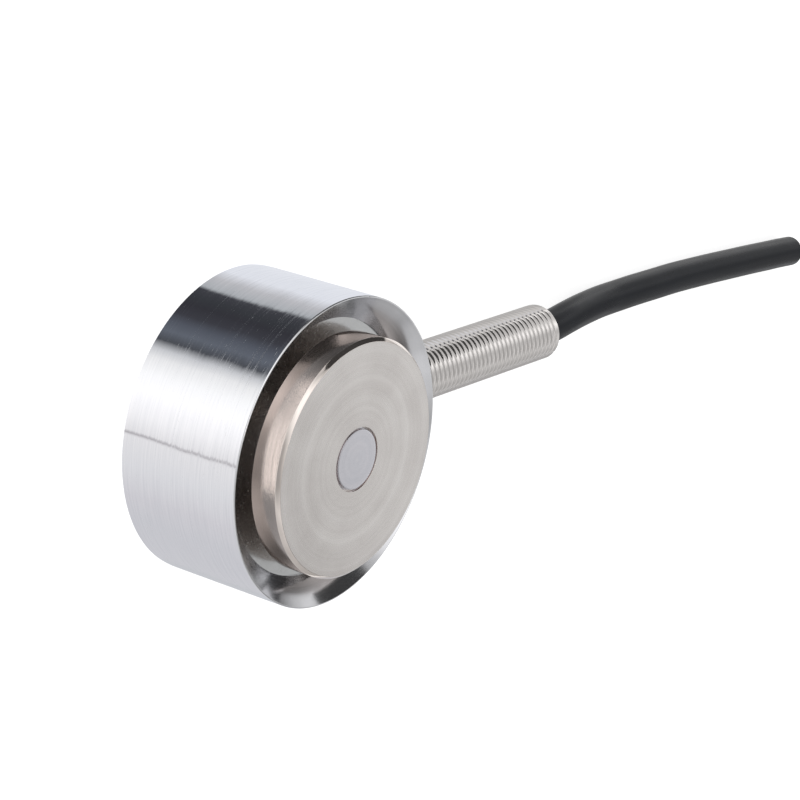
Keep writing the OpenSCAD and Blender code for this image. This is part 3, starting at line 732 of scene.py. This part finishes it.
bore_cutter = turned("bore_cutter", [
    (spigot_x - 1, 0, 0), (spigot_x - 1, 0, narrow_r), (narrow_end_x, 0, narrow_r),
    (narrow_end_x, 0, bore_r), (sleeve_end_x + 1, 0, bore_r), (sleeve_end_x + 1, 0, 0)],
    axis=(1, 0, 0), steps=96)
cut_with(sleeve, bore_cutter)
bpy.ops.object.select_all(action="DESELECT")
sleeve.select_set(True)
bpy.context.view_layer.objects.active = sleeve
bpy.ops.transform.translate(value=(0, 0, sleeve_z * MM))
bpy.ops.object.transform_apply(location=True, rotation=False, scale=False)
bpy.ops.object.shade_smooth_by_angle(angle=math.radians(32))
# Bright cut stainless steel: a clean thread straight from the die, a little warmer than the drum
threaded_steel = machined_metal(
    "die_cut_stainless_thread", "#e9e5e3", "#dad6d3", 0.12, 0.03, 0.3, (3, 3, 3), 400)
settle(sleeve, threaded_steel, "threaded_steel", "cable_sleeve")


# Cable. A black jacket over a braided shield, four insulated cores and a filler string; it comes
# down from the sleeve to the table and lies there, cut square at its end.
exit_x, jacket_x, cable_r, jacket_wall, shield_wall = 63.5, 27.99, 2.4, 0.55, 0.15
route = [(0, 0, 1), (4, 0.1, 0.96), (8, 0.3, 0.8), (12, 0.3, 0.55), (16, 0.2, 0.3), (20, 0.1, 0.1),
         (24, 0, 0), (30, 0, 0), (36, -0.1, 0), (42, -0.2, 0), (48, -0.45, 0), (54, -0.75, 0),
         (60, -1.1, 0), (66, -1.45, 0), (72, -1.85, 0), (76, -2.1, 0), (79.985, -2.4, 0)]
laid = [Vector((exit_x + x, y, cable_r + (sleeve_z - cable_r) * share)) for x, y, share in route]


def smooth_line(corners, before, after, steps):
    """Curve through the corners that leaves the first from before and the last towards after."""
    held = [before, *corners, after]
    line = []
    for a, b, c, d in zip(held, held[1:], held[2:], held[3:]):
        for i in range(steps):
            t = i / steps
            line.append(0.5 * (2 * b + (c - a) * t + (2 * a - 5 * b + 4 * c - d) * t ** 2
                               + (3 * b - a - 3 * c + d) * t ** 3))
    return [*line, corners[-1]]


def squares(line):
    """The two directions across a line at each of its points."""
    pairs = []
    for i in range(len(line)):
        along = (line[min(i + 1, len(line) - 1)] - line[max(i - 1, 0)]).normalized()
        flat = Vector((0, 1, 0)).cross(along).normalized()
        pairs.append((flat, along.cross(flat)))
    return pairs


def beside(line, down, aside):
    """Line that runs at a fixed place beside another one."""
    return [point + down * s + aside * u for point, (s, u) in zip(line, squares(line))]


def swept(name, line, outer, inner=0, sides=24, strands=1, strand_r=0, lay=10):
    """Bar, tube or twisted strands in mm along a line. Its UV map holds turns and mm."""
    pairs = squares(line)
    lengths = [0]
    for a, b in zip(line, line[1:]):
        lengths.append(lengths[-1] + (b - a).length)
    points, faces, turns = [], [], []
    for n in range(strands):
        centre_r = 0 if n == 0 and strands != 3 else strand_r
        base = len(points)
        rows = [(i, outer) for i in range(len(line))]
        if inner:
            rows += [(i, inner) for i in reversed(range(len(line)))]
        for i, radius in rows:
            twist = math.tau * (n / max(strands - (strands > 3), 1) + lengths[i] / lay)
            s, u = pairs[i]
            middle = line[i] + (s * math.cos(twist) + u * math.sin(twist)) * centre_r
            for k in range(sides):
                a = math.tau * k / sides
                points.append((middle + (s * math.cos(a) + u * math.sin(a)) * radius) * MM)
                turns.append((k / sides, lengths[i]))
        count = len(rows)
        for i in range(count if inner else count - 1):
            for k in range(sides):
                a, b = base + i * sides, base + (i + 1) % count * sides
                faces.append((a + k, a + (k + 1) % sides, b + (k + 1) % sides, b + k))
        if not inner:
            faces.append(tuple(base + k for k in reversed(range(sides))))
            faces.append(tuple(base + (count - 1) * sides + k for k in range(sides)))
    mesh = bpy.data.meshes.new(name)
    mesh.from_pydata(points, [], faces)
    chart = mesh.uv_layers.new(name="turns_and_mm")
    for face in mesh.polygons:
        seam = max(turns[v][0] for v in face.vertices) > 0.5
        for loop in face.loop_indices:
            turn, length = turns[mesh.loops[loop].vertex_index]
            chart.data[loop].uv = (1 if seam and turn == 0 else turn, length)
    piece = bpy.data.objects.new(name, mesh)
    scene.collection.objects.link(piece)
    bpy.ops.object.select_all(action="DESELECT")
    bpy.context.view_layer.objects.active = piece
    piece.select_set(True)
    bpy.ops.object.mode_set(mode="EDIT")
    bpy.ops.mesh.select_all(action="SELECT")
    bpy.ops.mesh.normals_make_consistent(inside=False)
    bpy.ops.object.mode_set(mode="OBJECT")
    bpy.ops.object.shade_smooth_by_angle(angle=math.radians(50))
    return piece


line_before = Vector((exit_x - 4, 0, sleeve_z))
line_after = laid[-1] + Vector((8, -0.55, 0))
free_line = [Vector((point.x, point.y, max(point.z, cable_r)))
             for point in smooth_line(laid, line_before, line_after, 6)]
in_sleeve = [Vector((x, 0, sleeve_z)) for x in (jacket_x, 35, 42, 49, 56)]
whole_line = [*in_sleeve, *free_line]

# Black cable jacket: satin elastomer, extruded, with faint flow lines and a fine grain
jacket_black = bpy.data.materials.new("black_satin_elastomer")
jacket_black.use_nodes = True
tree = jacket_black.node_tree
shader = tree.nodes["Principled BSDF"]
shader.inputs["IOR"].default_value = 1.5
shader.inputs["Specular IOR Level"].default_value = 0.16
chart = add_node(tree, "UVMap", uv_map="turns_and_mm").outputs[0]
place = add_node(tree, "TexCoord").outputs["Object"]
flow_place = add_node(tree, "Mapping", [("Vector", chart), ("Scale", (24, 0.12, 1))]).outputs[0]
flow = add_node(tree, "TexNoise", [("Vector", flow_place), ("Scale", 1.0), ("Detail", 3.0)])
mottle = add_node(tree, "TexNoise", [("Vector", place), ("Scale", 260), ("Detail", 4.0)])
black = add_node(tree, "Mix", [
    ("Factor", mottle.outputs[0]), (6, linear("#0f1218")), (7, linear("#181b22"))],
    data_type="RGBA")
tree.links.new(black.outputs[2], shader.inputs["Base Color"])
jacket_dull = add_node(tree, "MapRange", [
    ("Value", flow.outputs[0]), ("From Min", 0.3), ("From Max", 0.7),
    ("To Min", 0.26), ("To Max", 0.32)])
tree.links.new(jacket_dull.outputs[0], shader.inputs["Roughness"])
grain = add_node(tree, "TexNoise", [("Vector", place), ("Scale", 6 / MM), ("Detail", 2.0)])
grain_bump = add_node(tree, "Bump", [("Height", grain.outputs[0]), ("Distance", 0.004 * MM)])
tree.links.new(grain_bump.outputs[0], shader.inputs["Normal"])

jacket = swept("cable_jacket_free", free_line, cable_r, cable_r - jacket_wall, sides=48)
jacket_end = swept("cable_jacket_in_sleeve", [*in_sleeve, laid[0]], cable_r,
                   cable_r - jacket_wall, sides=48)
settle(jacket, jacket_black, "jacket_black", "cable_jacket")
settle(jacket_end, jacket_black, "jacket_black", "cable_jacket")

# Braided shield of tinned copper wire: bands of fine wires that cross at a slant, 1.5 mm apart
braid = bpy.data.materials.new("tinned_copper_braid")
braid.use_nodes = True
tree = braid.node_tree
shader = tree.nodes["Principled BSDF"]
shader.inputs["Metallic"].default_value = 1.0
shader.inputs["Roughness"].default_value = 0.35
chart = add_node(tree, "UVMap", uv_map="turns_and_mm").outputs[0]
bands = add_node(tree, "Mapping", [("Vector", chart), ("Scale", (8, 1 / 1.5, 1))]).outputs[0]
weave = add_node(tree, "TexChecker", [
    ("Vector", add_node(tree, "Mapping", [
        ("Vector", bands), ("Rotation", (0, 0, math.radians(45)))]).outputs[0]),
    ("Color1", linear("#c9c5bd")), ("Color2", linear("#8f8a82")), ("Scale", 1.0)])
tree.links.new(weave.outputs[0], shader.inputs["Base Color"])
wires = add_node(tree, "TexWave", [("Vector", bands), ("Scale", 2.5)], bands_direction="DIAGONAL")
wire_bump = add_node(tree, "Bump", [("Height", wires.outputs[1]), ("Distance", 0.05 * MM)])
tree.links.new(wire_bump.outputs[0], shader.inputs["Normal"])
shield = swept("braided_shield", whole_line, cable_r - jacket_wall,
               cable_r - jacket_wall - shield_wall, sides=32)
settle(shield, braid, "braid_copper", "cable_shield")

# Cotton string: three twisted yarns, off-white, soft and dull
cotton = bpy.data.materials.new("twisted_cotton")
cotton.use_nodes = True
tree = cotton.node_tree
shader = tree.nodes["Principled BSDF"]
shader.inputs["Roughness"].default_value = 0.95
shader.inputs["Sheen Weight"].default_value = 0.3
place = add_node(tree, "TexCoord").outputs["Object"]
fibres = add_node(tree, "TexNoise", [("Vector", place), ("Scale", 9 / MM), ("Detail", 4.0)])
yarn = add_node(tree, "Mix", [
    ("Factor", fibres.outputs[0]), (6, linear("#e4dfd0")), (7, linear("#bdb6a2"))],
    data_type="RGBA")
tree.links.new(yarn.outputs[2], shader.inputs["Base Color"])
fibre_bump = add_node(tree, "Bump", [("Height", fibres.outputs[0]), ("Distance", 0.03 * MM)])
tree.links.new(fibre_bump.outputs[0], shader.inputs["Normal"])
filler = swept("filler_string", whole_line, 0.15, sides=8, strands=3, strand_r=0.14, lay=4)
settle(filler, cotton, "filler_cotton", "cable_filler")


def insulation_finish(name, light, dark):
    """Extruded vinyl insulation: smooth and a little waxy, with slow streaks of pigment."""
    material = bpy.data.materials.new(name)
    material.use_nodes = True
    tree = material.node_tree
    shader = tree.nodes["Principled BSDF"]
    shader.inputs["IOR"].default_value = 1.53
    place = add_node(tree, "TexCoord").outputs["Object"]
    streaks = add_node(tree, "TexNoise", [
        ("Vector", add_node(tree, "Mapping", [
            ("Vector", place), ("Scale", (0.3 / MM, 3 / MM, 3 / MM))]).outputs[0]),
        ("Scale", 1.0), ("Detail", 3.0)])
    paint = add_node(tree, "Mix", [
        ("Factor", streaks.outputs[0]), (6, linear(light)), (7, linear(dark))],
        data_type="RGBA")
    tree.links.new(paint.outputs[2], shader.inputs["Base Color"])
    dull = add_node(tree, "MapRange", [
        ("Value", streaks.outputs[0]), ("To Min", 0.32), ("To Max", 0.5)])
    tree.links.new(dull.outputs[0], shader.inputs["Roughness"])
    return material


# Bare soft copper: bright salmon-red strands
bare_copper = machined_metal("bare_soft_copper", "#d98a5f", "#b8683f", 0.28, 0.08, 0.3, (5, 5, 5))
joint_x, joint_pitch, joint_top, straight_end = 8.5, 2.6, 3.3, 0.3
core_r, conductor_r, core_corner, fan_steps, stripped_steps = 0.6, 0.32, 0.6718, 8, 2
on_cable = [jacket, shield, filler, jacket_end]
for place_across, colour, light, dark, down, aside in (
        (1.5, "red", "#c12a2e", "#a32024", 1, 1),
        (0.5, "black", "#222326", "#17181a", -1, 1),
        (-0.5, "green", "#2f8a4e", "#246d3d", -1, -1),
        (-1.5, "white", "#eceae4", "#dad7cf", 1, -1)):
    joint = Vector((joint_x, place_across * joint_pitch, joint_top + straight_end))
    cable_lay = beside(whole_line, core_corner * down, core_corner * aside)
    mouth = Vector((spigot_x, cable_lay[0].y, cable_lay[0].z))
    reach = (mouth.x - joint.x) / 2
    bend = (joint, joint + Vector((0, 0, reach)), mouth - Vector((reach, 0, 0)), mouth)
    fan = [(1 - t) ** 3 * bend[0] + 3 * t * (1 - t) ** 2 * bend[1]
           + 3 * t * t * (1 - t) * bend[2] + t ** 3 * bend[3]
           for t in (i / fan_steps for i in range(fan_steps + 1))]
    core_line = [joint - Vector((0, 0, straight_end)), *fan, *cable_lay]
    insulation = swept(f"insulation_{colour}", core_line[stripped_steps:], core_r, conductor_r,
                       sides=20)
    settle(insulation, insulation_finish(f"{colour}_vinyl", light, dark),
           f"insulation_{colour}", f"core_{colour}")
    strands = swept(f"strands_{colour}", core_line, conductor_r / 3, sides=6, strands=7,
                    strand_r=conductor_r * 2 / 3, lay=12)
    settle(strands, bare_copper, "copper", f"conductor_{colour}")
    on_cable += [insulation, strands]


# Cable seals. A rubber bush closes the sleeve's mouth, a brass ferrule crimped on the jacket
# takes the pull, and cast resin fills the bore round the cores.
# Moulded rubber: dull black with a dusting of bloom
moulded_rubber = bpy.data.materials.new("moulded_black_rubber")
moulded_rubber.use_nodes = True
tree = moulded_rubber.node_tree
shader = tree.nodes["Principled BSDF"]
place = add_node(tree, "TexCoord").outputs["Object"]
bloom = add_node(tree, "TexNoise", [("Vector", place), ("Scale", 1.2 / MM), ("Detail", 5.0)])
rubber = add_node(tree, "Mix", [
    ("Factor", bloom.outputs[0]), (6, linear("#1a1a1c")), (7, linear("#2c2c2f"))],
    data_type="RGBA")
tree.links.new(rubber.outputs[2], shader.inputs["Base Color"])
rubber_dull = add_node(tree, "MapRange", [
    ("Value", bloom.outputs[0]), ("To Min", 0.55), ("To Max", 0.8)])
tree.links.new(rubber_dull.outputs[0], shader.inputs["Roughness"])
dress(moulded_rubber, "sealing_bush")

# Drawn brass: yellow, satin, with lines along the tube
drawn_brass = machined_metal("drawn_brass", "#d9bd77", "#c3a35c", 0.26, 0.06, 0.5, (0.2, 5, 5))
dress(drawn_brass, "crimp_ferrule")

# Cast epoxy: dark, glossy, slightly cloudy where it wetted the cores
cast_epoxy = bpy.data.materials.new("cast_black_epoxy")
cast_epoxy.use_nodes = True
tree = cast_epoxy.node_tree
shader = tree.nodes["Principled BSDF"]
shader.inputs["IOR"].default_value = 1.55
place = add_node(tree, "TexCoord").outputs["Object"]
wetting = add_node(tree, "TexNoise", [("Vector", place), ("Scale", 0.8 / MM), ("Detail", 2.0)])
epoxy = add_node(tree, "Mix", [
    ("Factor", wetting.outputs[0]), (6, linear("#201d1a")), (7, linear("#3a332b"))],
    data_type="RGBA")
tree.links.new(epoxy.outputs[2], shader.inputs["Base Color"])
epoxy_dull = add_node(tree, "MapRange", [
    ("Value", wetting.outputs[0]), ("To Min", 0.12), ("To Max", 0.3)])
tree.links.new(epoxy_dull.outputs[0], shader.inputs["Roughness"])
dress(cast_epoxy, "potting_plug")


# Base cover. A thin stainless disc laser-welded over the gauge chamber and ground flat with the
# drum's foot.
# Ground stainless steel: satin, with straight lines from the surface grinder
ground_cover = machined_metal(
    "surface_ground_stainless", "#d3d4d6", "#c2c3c6", 0.30, 0.08, 0.6, (0.15, 5, 5))
dress(ground_cover, "base_cover")
